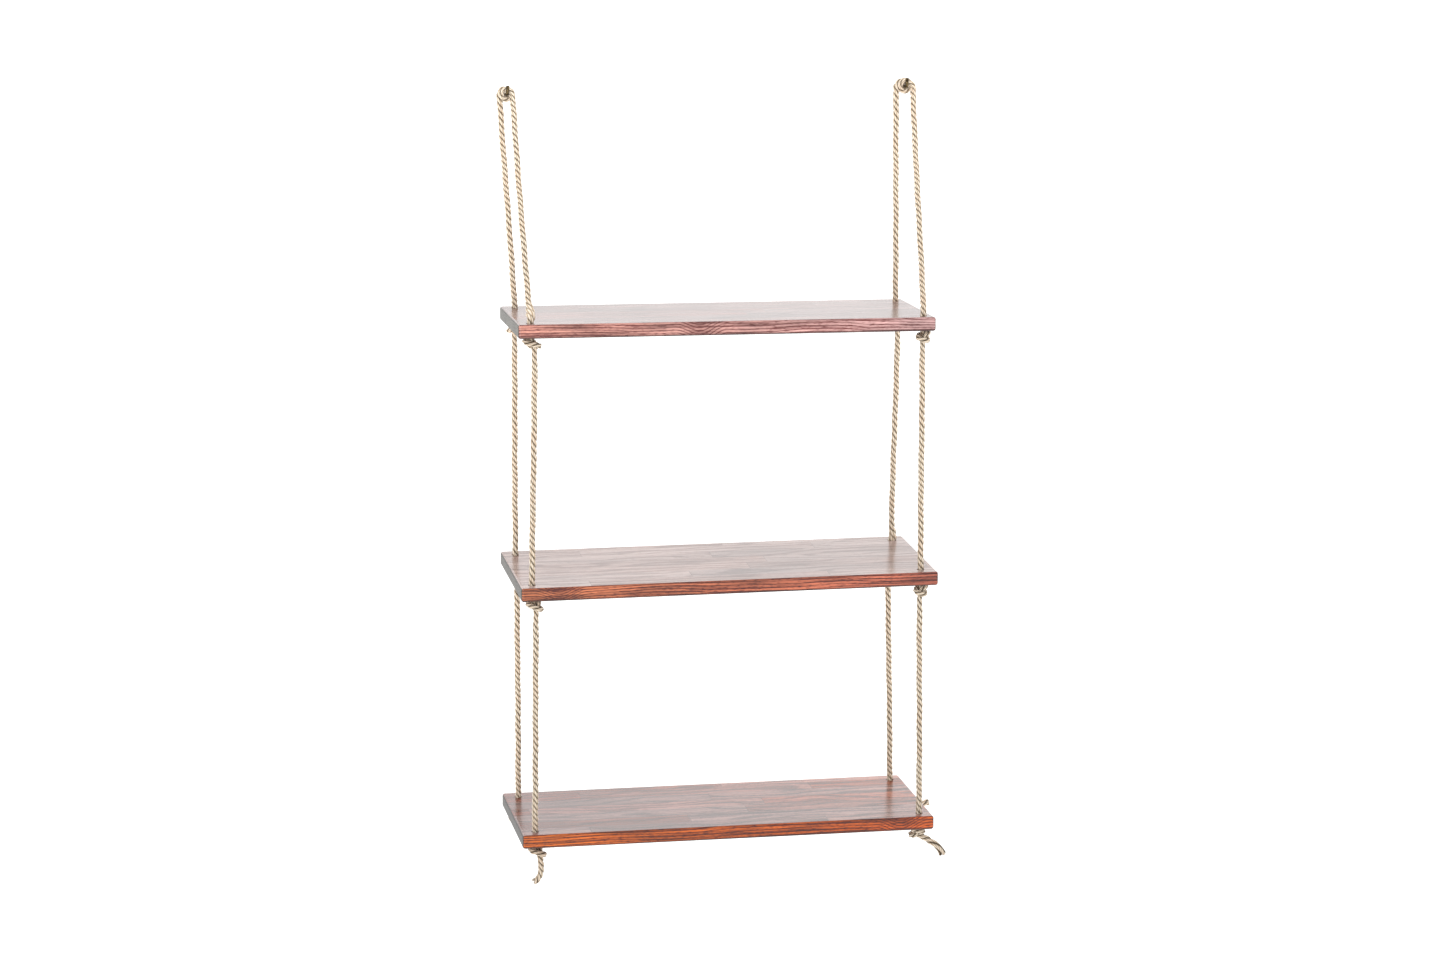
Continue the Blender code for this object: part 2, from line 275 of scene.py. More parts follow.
def varnished_hardwood(name, row):
    """Sheesham under three brushed coats of clear varnish.

    The staves differ in tone, with dark growth lines and fine open pores. The varnish is
    hard and glossy, so a flat view along a board shows mostly the room's white light.
    """
    finish, tree, shader = new_finish(name)
    place = add(tree, "Attribute", take="Vector", attribute_name="place_in_board")
    x, y, z = add(tree, "SeparateXYZ", (place,), slice(0, 3))
    # Which stave across the board, which length along it, and three numbers for that piece.
    # The numbers shift its figure, but not on the front edge, which is one clear strip.
    start = BOARD_DEPTH / 2 / STAVE_WIDTH + FIRST_SEAM
    across = add(tree, "Math", (y, 1 / STAVE_WIDTH, start), operation="MULTIPLY_ADD")
    rank = add(tree, "Math", (across,), operation="FLOOR")
    stagger = add(tree, "TexWhiteNoise", {"W": rank}, "Value", noise_dimensions="1D")
    shifted = add(tree, "Math", (x, 1 / STAVE_LENGTH, stagger), operation="MULTIPLY_ADD")
    run = add(tree, "Math", (shifted,), operation="FLOOR")
    piece = add(tree, "CombineXYZ", (rank, run, row["seed"]))
    chance = add(tree, "TexWhiteNoise", {"Vector": piece}, "Color", noise_dimensions="3D")
    tone, greyness = add(tree, "SeparateColor", (chance,), slice(0, 2))
    edge = add(tree, "Attribute", take="Fac", attribute_name="front_edge")
    shift = add(tree, "MapRange", (edge, 0.0, 1.0, 3.0, 0.0))
    own = add(tree, "VectorMath", (place, (row["seed"], 0.0, 0.0)), operation="ADD")
    own = add(tree, "VectorMath", (chance, shift, own), operation="MULTIPLY_ADD")
    # Growth lines run along the stave, drift over some 170 mm along it and 40 mm across, and
    # bend round where a knot has been.
    drift = add(tree, "Mapping", {"Vector": own, "Scale": (6.0, 24.0, 24.0)})
    drift = add(tree, "TexNoise", {"Vector": drift, "Scale": 1.0, "Detail": 2.0, "Roughness": 0.45})
    bend = add(tree, "Math", (x, row["swirl"]), operation="SUBTRACT")
    bend = add(tree, "Math", (bend,), operation="ABSOLUTE")
    knot = add(tree, "MapRange", (bend, 0.0, SWIRL_REACH, edge, 0.0), interpolation_type="SMOOTHSTEP")
    bend = add(tree, "Math", (knot, 3.0), operation="MULTIPLY")
    level = add(tree, "Math", (y, 1 / FACE_RING_SPACING, bend), operation="MULTIPLY_ADD")
    level = add(tree, "Math", (z, 1 / RING_SPACING, level), operation="MULTIPLY_ADD")
    level = add(tree, "Math", (drift, 5.5, level), operation="MULTIPLY_ADD")
    level = add(tree, "Math", (level, 2 * math.pi), operation="MULTIPLY")
    ring = add(tree, "Math", (level,), operation="SINE")
    ring = add(tree, "MapRange", (ring, 0.2, 0.9, 0.0, 0.6))
    # Streaks 2 mm wide and 90 mm long, and pores of about 1 by 6 mm, which is two or three
    # times as wide as real ones so that they show.
    streak = add(tree, "Mapping", {"Vector": own, "Scale": (11.0, 520.0, 520.0)})
    streak = add(tree, "TexNoise", {"Vector": streak, "Scale": 1.0, "Detail": 4.0, "Roughness": 0.62})
    pore = add(tree, "Mapping", {"Vector": own, "Scale": (170.0, 1100.0, 1100.0)})
    pore = add(tree, "TexNoise", {"Vector": pore, "Scale": 1.0, "Detail": 1.0})
    pore = add(tree, "MapRange", (pore, 0.50, 0.72, 0.0, 0.5))
    dark = add(tree, "MapRange", (streak, 0.42, 0.62, 0.0, 0.75))
    dark = add(tree, "Math", (knot, 0.3, dark), operation="MULTIPLY_ADD")
    dark = add(tree, "Math", (dark, ring), operation="ADD")
    dark = add(tree, "Math", (dark, pore), operation="ADD", use_clamp=True)
    # On the faces each piece has its own tone, with thin glue lines between the pieces, and
    # the varnish has aged unevenly in clouds of 50 to 100 mm.
    left, right, deep = (paint(code) for code in row["face"])
    spread = row["contrast"]
    share = add(tree, "MapRange", (x, -row["length"] / 2, row["length"] / 2, 0.0, 1.0))
    light = add(tree, "Mix", {0: share, 6: left, 7: right}, 2, data_type="RGBA")
    on_face = add(tree, "Mix", {0: dark, 6: light, 7: deep}, 2, data_type="RGBA")
    aged = {"Vector": place, "Location": (row["seed"], 0, 0), "Scale": (9.0, 22.0, 1.0)}
    aged = add(tree, "Mapping", aged)
    aged = add(tree, "TexNoise", {"Vector": aged, "Scale": 1.0, "Detail": 1.0})
    aged = add(tree, "MapRange", (aged, 0.3, 0.7, 0.86, 1.12))
    tone = add(tree, "MapRange", (tone, 0.0, 1.0, -0.26 * spread, 0.22 * spread))
    tone = add(tree, "Math", (tone, aged), operation="ADD")
    greyness = add(tree, "MapRange", (greyness, 0.0, 1.0, 1.0 - 0.3 * spread, 1.0 + 0.15 * spread))
    on_face = add(tree, "HueSaturation", {"Color": on_face, "Value": tone, "Saturation": greyness})
    seam = add(tree, "Math", (across, 1.0), operation="PINGPONG")
    seam = add(tree, "Math", (seam, SEAM_SHARE), operation="LESS_THAN")
    joint = add(tree, "Math", (shifted,), operation="FRACT")
    joint = add(tree, "Math", (joint, JOINT_SHARE), operation="LESS_THAN")
    glue = add(tree, "Math", (seam, joint), operation="MAXIMUM")
    glue = add(tree, "Math", (glue, 0.5 * spread), operation="MULTIPLY")
    on_face = add(tree, "Mix", {0: glue, 6: on_face, 7: paint("2b1512")}, 2, data_type="RGBA")
    # The front edge is cleaner and redder. Its tone drifts from end to end and in zones of
    # 60 by 9 mm, and painted shade darkens it along its two arrises.
    left, right, deep = (paint(code) for code in row["edge"])
    light = add(tree, "Mix", {0: share, 6: left, 7: right}, 2, data_type="RGBA")
    lower = add(tree, "MapRange", (z, *LOWER_ARRIS_SHADE, 0.0, 0.9))
    upper_arris_shade = add(tree, "MapRange", (z, *UPPER_ARRIS_SHADE, 0.0, 0.5))
    dark = add(tree, "Math", (dark, upper_arris_shade), operation="MAXIMUM")
    on_edge = add(tree, "Mix", {0: dark, 6: light, 7: deep}, 2, data_type="RGBA")
    zone = add(tree, "Mapping", {"Vector": own, "Scale": (17.0, 1.0, 110.0)})
    zone = add(tree, "TexNoise", {"Vector": zone, "Scale": 1.0, "Detail": 2.0})
    zone = add(tree, "MapRange", (zone, 0.3, 0.7, 0.72, 1.28))
    on_edge = add(tree, "HueSaturation", {"Color": on_edge, "Value": zone})
    # Painted shade, nearly black, along the lower arris.
    on_edge = add(tree, "Mix", {0: lower, 6: on_edge, 7: paint("1c0a07")}, 2, data_type="RGBA")
    wood = add(tree, "Mix", {0: edge, 6: on_face, 7: on_edge}, 2, data_type="RGBA")
    tree.links.new(wood, shader.inputs["Base Color"])
    shader.inputs["Roughness"].default_value = 0.55
    shader.inputs["Specular IOR Level"].default_value = 0.05
    shader.inputs["Coat Weight"].default_value = 1.0
    shader.inputs["Coat Roughness"].default_value = 0.22
    shader.inputs["Coat IOR"].default_value = 1.45
    relief = add(tree, "Math", (streak, 0.7, pore), operation="MULTIPLY_ADD")
    grain = add(tree, "Bump", {"Height": relief, "Strength": 0.2, "Distance": 0.0001}, invert=True)
    tree.links.new(grain, shader.inputs["Normal"])
    # The brushed film has a shallow ripple, 30 mm across the board and 125 mm along it.
    ripple = add(tree, "Mapping", {"Vector": place, "Scale": (8.0, 34.0, 34.0)})
    ripple = add(tree, "TexNoise", {"Vector": ripple, "Scale": 1.0, "Detail": 2.0})
    film = add(tree, "Bump", {"Height": ripple, "Strength": 0.5, "Distance": 0.0009})
    tree.links.new(film, shader.inputs["Coat Normal"])
    return finish


def sealed_end_grain(name, row):
    """The sawn ends. End grain drinks the varnish, so they are greyer, darker and matt.

    The rings show as bowed lines, with pores drawn 0.6 mm wide, about twice a real one.
    """
    finish, tree, shader = new_finish(name)
    place = add(tree, "Attribute", take="Vector", attribute_name="place_in_board")
    y, z = add(tree, "SeparateXYZ", (place,), slice(1, 3))
    bow = add(tree, "Mapping", (place, (0, row["seed"], 0), (0, 0, 0), (0.0, 30.0, 30.0)))
    bow = add(tree, "TexNoise", {"Vector": bow, "Scale": 1.0, "Detail": 1.0})
    bow = add(tree, "Math", (bow, 5.0), operation="MULTIPLY")
    level = add(tree, "Math", (y, 1 / FACE_RING_SPACING, bow), operation="MULTIPLY_ADD")
    level = add(tree, "Math", (z, 1 / RING_SPACING, level), operation="MULTIPLY_ADD")
    level = add(tree, "Math", (level, 2 * math.pi), operation="MULTIPLY")
    ring = add(tree, "Math", (level,), operation="SINE")
    ring = add(tree, "MapRange", (ring, 0.2, 1.0, 0.0, 0.7))
    pores = add(tree, "TexNoise", {"Vector": place, "Scale": 1700.0, "Detail": 1.0})
    pores = add(tree, "MapRange", (pores, 0.56, 0.68, 0.0, 1.0))
    dark = add(tree, "Math", (ring, pores), operation="MAXIMUM")
    light, deep = (paint(code) for code in row["sawn"])
    wood = add(tree, "Mix", {0: dark, 6: light, 7: deep}, 2, data_type="RGBA")
    start = BOARD_DEPTH / 2 / STAVE_WIDTH + FIRST_SEAM
    across = add(tree, "Math", (y, 1 / STAVE_WIDTH, start), operation="MULTIPLY_ADD")
    rank = add(tree, "Math", (across,), operation="FLOOR")
    tone = add(tree, "TexWhiteNoise", {"W": rank}, "Value", noise_dimensions="1D")
    tone = add(tree, "MapRange", (tone, 0.0, 1.0, 0.85, 1.15))
    wood = add(tree, "HueSaturation", {"Color": wood, "Value": tone})
    tree.links.new(wood, shader.inputs["Base Color"])
    shader.inputs["Roughness"].default_value = 0.5
    shader.inputs["Coat Weight"].default_value = 0.1
    shader.inputs["Coat Roughness"].default_value = 0.4
    rough = add(tree, "Bump", {"Height": dark, "Strength": 0.3, "Distance": 0.0001}, invert=True)
    tree.links.new(rough, shader.inputs["Normal"])
    return finish


def board_frame(name):
    """The matrix that places a board's own axes, centred in its thickness."""
    row = BOARDS[name]
    angles = [math.radians(row[key]) for key in ("nose", "lean", "turn")]
    middle = Vector((row["middle"], -WALL_GAP - BOARD_DEPTH / 2, -row["drop"]))
    return Matrix.Translation(middle) @ Euler(angles).to_matrix().to_4x4()


def hole_xy(name, side, leg):
    """A hole's centre in its board's own axes."""
    middle = BOARDS[name]["drilling"] - BOARDS[name]["middle"]
    if leg == "front":
        return middle + side * FRONT_SPACING / 2, HOLE_FROM_FRONT - BOARD_DEPTH / 2
    return middle + side * BACK_SPACING / 2, BOARD_DEPTH / 2 - HOLE_FROM_BACK


def finished_with(piece, kind, **settings):
    """Adds a modifier to the piece and applies it."""
    step = piece.modifiers.new(kind.lower(), kind)
    for name, value in settings.items():
        setattr(step, name, value)
    bpy.context.view_layer.objects.active = piece
    bpy.ops.object.modifier_apply(modifier=step.name)


for node, row in BOARDS.items():
    bpy.ops.object.select_all(action="DESELECT")
    bpy.ops.mesh.primitive_cube_add(size=1)
    board = bpy.context.object
    board.name = node.replace("board", "plank")
    board.dimensions = (row["length"], BOARD_DEPTH, BOARD_THICKNESS)
    bpy.ops.object.transform_apply(location=False, rotation=False, scale=True)
    # The arrises round the ends are worn rounder than the four long ones.
    wear = board.data.attributes.new("bevel_weight_edge", "FLOAT", "EDGE")
    for edge in board.data.edges:
        first, last = (board.data.vertices[corner].co.x for corner in edge.vertices)
        wear.data[edge.index].value = 1.0 if first * last > 0 else EDGE_ROUND / END_ROUND
    finished_with(board, "BEVEL", width=END_ROUND, segments=4, limit_method="WEIGHT")
    for side in (-1, 1):
        for leg in ("front", "back"):
            x, y = hole_xy(node, side, leg)
            bpy.ops.mesh.primitive_cylinder_add(
                vertices=HOLE_SIDES, radius=HOLE_DIAMETER / 2, depth=2 * BOARD_THICKNESS,
                location=(x, y, 0),
            )
            drill = bpy.context.object
            finished_with(board, "BOOLEAN", operation="DIFFERENCE", object=drill)
            bpy.data.objects.remove(drill, do_unlink=True)
    # A touch of sandpaper at both mouths of every hole.
    finished_with(
        board, "BEVEL", width=HOLE_EASING, segments=2, limit_method="ANGLE",
        angle_limit=math.radians(60),
    )
    bpy.ops.object.select_all(action="DESELECT")
    board.select_set(True)
    bpy.ops.object.shade_smooth_by_angle(angle=math.radians(35))
    finished_with(board, "WEIGHTED_NORMAL", keep_sharp=True, weight=100)
    shape = board.data
    own_place = shape.attributes.new("place_in_board", "FLOAT_VECTOR", "POINT")
    own_place.data.foreach_set("vector", [part for vertex in shape.vertices for part in vertex.co])
    front_edge = shape.attributes.new("front_edge", "FLOAT", "FACE")
    front_edge.data.foreach_set("value", [float(face.normal.y < -0.2) for face in shape.polygons])
    which = node.removeprefix("board_")
    shape.materials.append(varnished_hardwood("varnished_hardwood_" + which, row))
    shape.materials.append(sealed_end_grain("sealed_end_grain_" + which, row))
    for face in shape.polygons:
        at_end = abs(face.center.x) > row["length"] / 2 - END_ROUND
        face.material_index = int(at_end and abs(face.normal.x) > 0.7)
    shape.transform(board_frame(node))
    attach(board, "root")
    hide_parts(node)

# Ropes. Each is one length of soft three-strand laid rope of undyed plant fibre. It comes up
# through the back holes, takes a turn and a half round its hook and goes down the front holes,
# with an overhand knot under every hole. Its two cut ends hang below the lowest knots.
ROPE_DIAMETER = 0.0058
KNOT_ROPE_DIAMETER = 0.0051
TOUCH_GAP = 0.0003
# Overhand knot, pulled tight from a loose one.
KNOT_PASS = 0.0055
KNOT_LENGTH = 0.080
KNOT_REACH = 0.012
KNOT_POINTS = 84
KNOT_STEP = 0.0024
LOOSE_SPAN = 2.3
LOOSE_BENT = 1.9
LOOSE_PASS = 6.45
LOOSE_SIZE = (6.0, 3.2, 0.75)
UPRIGHT_POINTS = 5
FREED_POINTS = 5
KNOT_ROUNDS = 700
DRAWING_SHARE = 0.7
SPACING_ROUNDS = 4
END_SHARE = 0.05
UNBEND_SHARE = 0.3
PUSH_SHARE = 0.8
NEAR_ALONG = 1.45
# Round turns on the hook, and the free stretches.
TURN_RADIUS = 0.0051
TURN_START_Y = -0.0140
TURN_END_Y = -0.0236
TURN_ANGLE = math.radians(540)
TURN_FLARE = 4
TURN_POINTS = 34
RUN_PULL = 0.040
RUN_POINTS = 7
RIM_PULL = 0.030
HOOK_PULL = 0.045
RISE_POINTS = 12
TAIL_TIP_PULL = 0.045
TAIL_KNOT_PULL = 0.024
TAIL_POINTS = 11
LOW_TO_HIGH = ("board_bottom", "board_middle", "board_top")
# Turns are how far each knot is turned about its hole, from the lowest board up. Tip is where
# a cut end lies under its hole and aim which way it points. Slack is how far the lay has opened
# at one place, and front loose how far it has at the front end.
ROPES = {
    "rope_left": dict(
        hook="hook_left", side=-1, spread=0.0062, seed=5,
        back_turns=(-60, 100, -90), front_turns=(150, 128, 180),
        back_tip=(0.026, 0.004, -0.031), back_aim=(0.9, 0.3, -0.3),
        front_tip=(-0.0015, -0.001, -0.0407), front_aim=(-0.85, 0.0, -0.5),
        slack=2.2, slack_at=(-0.2135, -0.1625, -0.2180), front_loose=0.0,
    ),
    "rope_right": dict(
        hook="hook_right", side=1, spread=0.0080, seed=9,
        back_turns=(-60, 45, 107), front_turns=(-60, 72, 68),
        back_tip=(0.0445, 0.0, -0.0135), back_aim=(0.98, 0.0, 0.2),
        front_tip=(0.0275, 0.001, -0.033), front_aim=(0.35, 0.0, -0.94),
        slack=1.0, slack_at=(0.2110, -0.0220, -0.5000), front_loose=1.0,
    ),
}
# The lay: three strands, one turn of each in about 20 mm, slanting down to the right as an S
# does. The lay drifts a little tighter and looser, and the rope is never quite straight.
# The strands' crowns and fuzz stand a little proud of the rope's nominal size.
STRANDS = 3
LAY_LENGTH = 0.0203
LAY_DRIFT = 0.1
DRIFT_REACH = 0.021
WAVER = 0.0004
WAVER_REACH = 0.013
CROWN_SHARE = 1.19
STRAND_SHARE = 0.266
STRAND_SWELL = 0.03
SWELL_RATES = (820, 910, 1000)
LINE_STEP = 0.0010
STRAND_SIDES = 12
# Five yarns show round a strand, and they lie nearly along the rope.
YARNS = 5
YARN_TURN = 0.018
# Handling has opened the lay at one place on each rope and at the right one's front end, and
# the cut ends are a little frayed.
SLACK_REACH = 0.0085
SLACK_FLUFF = 0.45
SLACK_SPREAD = 0.0008
SLACK_UNEVENNESS = 0.5
SLACK_LEAN = 0.0016
LOOSE_REACH = 0.034
LOOSE_SWELL = 0.16
LOOSE_TURNS = 1.0
FRAY_LENGTH = 0.007
FRAY_SPREAD = 0.0004
FRAY_UNEVENNESS = 0.6
FRAY_THINNING = 0.25
STRAY_FIBRES = 900
FIBRE_ROOT_SHARE = 0.40
FIBRE_LENGTHS = (0.0015, 0.0040)
FIBRE_WIDTHS = (3e-5, 6e-5)
FIBRE_SIDES = 3
END_FIBRES = 24
END_FIBRE_ROOT = 0.0012
END_FIBRE_LENGTHS = (0.002, 0.0036)
END_FIBRE_WIDTHS = (8e-5, 15e-5)


def along(points):
    """Distance along a path, at each of its points."""
    steps = np.linalg.norm(np.diff(points, axis=0), axis=1)
    return np.concatenate([[0.0], np.cumsum(steps)])


def resampled(points, step):
    """The same path with evenly spaced points."""
    arc = along(points)
    places = np.linspace(0, arc[-1], int(round(arc[-1] / step)) + 1)
    return np.stack([np.interp(places, arc, points[:, axis]) for axis in range(3)], axis=1)


def keep_spacing(points, step):
    """Pulls each pair of neighbours to one spacing, every second pair at a time."""
    for first in (0, 1):
        a = points[first:-1:2]
        b = points[first + 1::2]
        apart = b - a
        reach = np.linalg.norm(apart, axis=1, keepdims=True)
        shift = 0.5 * (reach - step) * apart / reach
        a += shift
        b -= shift


def hold_upright(points, order, height, step):
    """Draws one end of the path to a height, its last few points on one upright line."""
    upright = points[order, :2].mean(axis=0)
    way = math.copysign(1, height)
    level = points[order[0], 2] + (height - points[order[0], 2]) * END_SHARE
    for place, index in enumerate(order):
        points[index, :2] = upright
        points[index, 2] = level - way * place * step


def push_apart(points, step):
    """Moves passes of the rope that lie closer than touching away from each other."""
    index = np.arange(len(points))
    far_along = np.abs(index[:, None] - index[None]) * step >= NEAR_ALONG * KNOT_PASS
    apart = points[:, None] - points[None]
    reach = np.linalg.norm(apart, axis=2) + 1e-9
    close = far_along & (reach < KNOT_PASS)
    depth = np.where(close, 0.5 * (KNOT_PASS - reach) / reach, 0)
    share = np.sqrt(np.maximum(close.sum(axis=1), 1))[:, None]
    points += PUSH_SHARE * (depth[:, :, None] * apart).sum(axis=1) / share


def tight_knot():
    """An overhand knot's centre line, pulled tight from a long trefoil."""
    t = np.linspace(-LOOSE_SPAN, LOOSE_SPAN, KNOT_POINTS)
    trefoil = np.stack([t**3 - 3 * t, t**4 - 4 * t**2, t**5 - 10 * t], axis=1)
    knot = trefoil * LOOSE_SIZE * KNOT_PASS / LOOSE_PASS
    end_share = np.clip((np.abs(t) - LOOSE_BENT) / (LOOSE_SPAN - LOOSE_BENT), 0, 1)
    knot[:, :2] *= 1 - end_share[:, None] ** 2
    loose_length = along(knot)[-1]
    low = list(range(UPRIGHT_POINTS))
    high = [-1 - index for index in low]
    for tightening in range(KNOT_ROUNDS):
        pulled = min(1.0, tightening / (DRAWING_SHARE * KNOT_ROUNDS))
        step = (loose_length + (KNOT_LENGTH - loose_length) * pulled) / (KNOT_POINTS - 1)
        hold_upright(knot, low, -KNOT_REACH, step)
        hold_upright(knot, high, KNOT_REACH, step)
        knot[2:-2] += UNBEND_SHARE * ((knot[1:-3] + knot[3:-1]) / 2 - knot[2:-2])
        for _ in range(SPACING_ROUNDS):
            keep_spacing(knot, step)
        push_apart(knot, step)
    knot[:, :2] -= knot[-1, :2]
    return knot


def placed_knot(knot, board, side, leg, turn):
    """The knot under one hole, turned about the hole's axis, in world space."""
    room_in_hole = (HOLE_DIAMETER - KNOT_ROPE_DIAMETER) / 2 - TOUCH_GAP
    outside_hole = np.hypot(knot[:, 0], knot[:, 1]) > room_in_hole
    seat = knot[outside_hole, 2].max() + KNOT_ROPE_DIAMETER / 2 + TOUCH_GAP
    x, y = hole_xy(board, side, leg)
    under = Vector((x, y, -BOARD_THICKNESS / 2 - seat))
    turned = Matrix.Rotation(math.radians(turn), 4, "Z")
    place = board_frame(board) @ Matrix.Translation(under) @ turned
    return np.array([place @ Vector(point) for point in resampled(knot, KNOT_STEP)])


def wide(points, diameter=ROPE_DIAMETER):
    """The points with the rope's diameter there as a fourth column."""
    points = np.atleast_2d(points)
    return np.column_stack([points, np.full(len(points), diameter)])


def sweep(start, start_pull, end, end_pull, count):
    """Points inside a cubic from start to end that leaves and arrives along the pulls."""
    t = np.linspace(0, 1, count + 2)[1:-1, None]
    return (
        (2 * t**3 - 3 * t**2 + 1) * start + (t**3 - 2 * t**2 + t) * start_pull
        + (3 * t**2 - 2 * t**3) * end + (t**3 - t**2) * end_pull
    )


def round_turns(hook, spread):
    """The rope's one and a half turns on its hook, from the back leg to the front leg."""
    u = np.linspace(0, 1, TURN_POINTS)
    angle = math.pi - TURN_ANGLE * u
    radius = TURN_RADIUS + (spread - TURN_RADIUS) * np.abs(2 * u - 1) ** TURN_FLARE
    x = hook["x"] + radius * np.cos(angle)
    y = TURN_START_Y + (TURN_END_Y - TURN_START_Y) * u
    z = hook["z"] + radius * np.sin(angle)
    return np.stack([x, y, z], axis=1)


def leg_path(knot, row, leg):
    """One leg of a rope, from its cut end up to the top board's upper face."""
    side = row["side"]
    stretches = []
    for board, turn in zip(LOW_TO_HIGH, row[leg + "_turns"]):
        x, y = hole_xy(board, side, leg)
        frame_here = board_frame(board)
        normal = np.array(frame_here.col[2][:3])
        under = np.array(frame_here @ Vector((x, y, -BOARD_THICKNESS / 2)))
        mouth = np.array(frame_here @ Vector((x, y, BOARD_THICKNESS / 2)))
        tied = placed_knot(knot, board, side, leg, turn)
        if stretches:
            link = sweep(stretches[-1][-1, :3], RUN_PULL * normal, tied[0], RUN_PULL * normal, RUN_POINTS)
        else:
            tip = under + row[leg + "_tip"]
            stretches.append(wide(tip))
            inward = -TAIL_TIP_PULL * np.array(row[leg + "_aim"])
            tied = tied[FREED_POINTS:]
            out_of_knot = (tied[1] - tied[0]) / KNOT_STEP
            link = sweep(tip, inward, tied[0], TAIL_KNOT_PULL * out_of_knot, TAIL_POINTS)
        stretches += [wide(link), wide(tied, KNOT_ROPE_DIAMETER), wide(mouth)]
    return np.concatenate(stretches)


def rope_path(knot, row):
    """A rope's whole centre line, with its diameter at each point."""
    back = leg_path(knot, row, "back")
    front = leg_path(knot, row, "front")[::-1]
    turns = round_turns(HOOKS[row["hook"]], row["spread"])
    at_rim = np.array((0, 0, RIM_PULL))
    at_hook = np.array((0, 0, HOOK_PULL))
    rise = sweep(back[-1, :3], at_rim, turns[0], at_hook, RISE_POINTS)
    fall = sweep(turns[-1], -at_rim, front[0, :3], -at_rim, RISE_POINTS)
    return np.concatenate([back, wide(rise), wide(turns), wide(fall), front])


def smooth_line(path, step):
    """A cubic through the path's points, with a point every step, and the width there."""
    arc = along(path[:, :3])
    gap = np.diff(arc)[:, None]
    slope = np.diff(path, axis=0) / gap
    lean = np.empty_like(path)
    lean[0], lean[-1] = slope[0], slope[-1]
    lean[1:-1] = (slope[:-1] * gap[1:] + slope[1:] * gap[:-1]) / (gap[:-1] + gap[1:])
    place = np.linspace(0, arc[-1], int(arc[-1] / step) + 1)
    piece = np.clip(np.searchsorted(arc, place, side="right") - 1, 0, len(gap) - 1)
    width = gap[piece]
    t = ((place - arc[piece])[:, None]) / width
    return (
        (2 * t**3 - 3 * t**2 + 1) * path[piece] + (t**3 - 2 * t**2 + t) * width * lean[piece]
        + (3 * t**2 - 2 * t**3) * path[piece + 1] + (t**3 - t**2) * width * lean[piece + 1]
    )


def unit(rows):
    """Each row at length one."""
    return rows / np.linalg.norm(rows, axis=-1, keepdims=True)


def side_vectors(line):
    """The way along the line at each point, and a vector across it, carried without twist."""
    ahead = unit(np.gradient(line, axis=0))
    across = np.empty_like(ahead)
    start = np.cross(ahead[0], (0.0, 1.0, 0.0))
    across[0] = start / np.linalg.norm(start)
    for index in range(1, len(line)):
        carried = across[index - 1] - np.dot(across[index - 1], ahead[index]) * ahead[index]
        across[index] = carried / np.linalg.norm(carried)
    return ahead, across


def add_tube(parts, centres, outward, ahead, radii, sides, arc, round_share=1):
    """Adds a closed round tube. Its first side faces outward, and u, v follow its surface.

    Round share is how much of u its way round takes.
    """
    third = unit(np.cross(ahead, outward))
    turn = 2 * math.pi * np.arange(sides) / sides
    ring = np.cos(turn)[None, :, None] * outward[:, None] + np.sin(turn)[None, :, None] * third[:, None]
    spots = centres[:, None] + radii[:, None, None] * ring
    count = len(centres)
    corner = np.arange(count * sides).reshape(count, sides)
    after = np.roll(corner, -1, axis=1)
    quads = np.stack([corner[:-1], after[:-1], after[1:], corner[1:]], axis=2).reshape(-1, 4)
    u = np.broadcast_to(round_share * np.arange(sides) / sides, (count - 1, sides))
    low = np.stack([u, np.broadcast_to(arc[:-1, None], u.shape)], axis=2)
    high = np.stack([u, np.broadcast_to(arc[1:, None], u.shape)], axis=2)
    step = np.array([round_share / sides, 0])
    cover = np.stack([low, low + step, high + step, high], axis=2).reshape(-1, 2)
    parts["spots"].append(spots.reshape(-1, 3))
    parts["faces"] += (quads + parts["count"]).tolist()
    parts["cover"].append(cover)
    for ends, level in ((corner[0][::-1], arc[0]), (corner[-1], arc[-1])):
        parts["faces"].append((ends + parts["count"]).tolist())
        parts["cover"].append(np.tile([0.0, level], (sides, 1)))
    parts["count"] += count * sides


def add_fibre(parts, root, direction, droop, length, thickness):
    """Adds one loose fibre: a bent three-sided hair that runs out to a point."""
    share = np.array([0.0, 0.4, 0.75, 1.0])
    centres = root + length * (share[:, None] * direction + share[:, None] ** 2 * droop)
    ahead = unit(np.gradient(centres, axis=0))
    outward = unit(np.cross(ahead, (0.31, 0.87, 0.39)))
    radii = thickness * np.array([1.0, 0.85, 0.55, 0.12])
    add_tube(parts, centres, outward, ahead, radii, FIBRE_SIDES, share * length / YARN_TURN, 0)


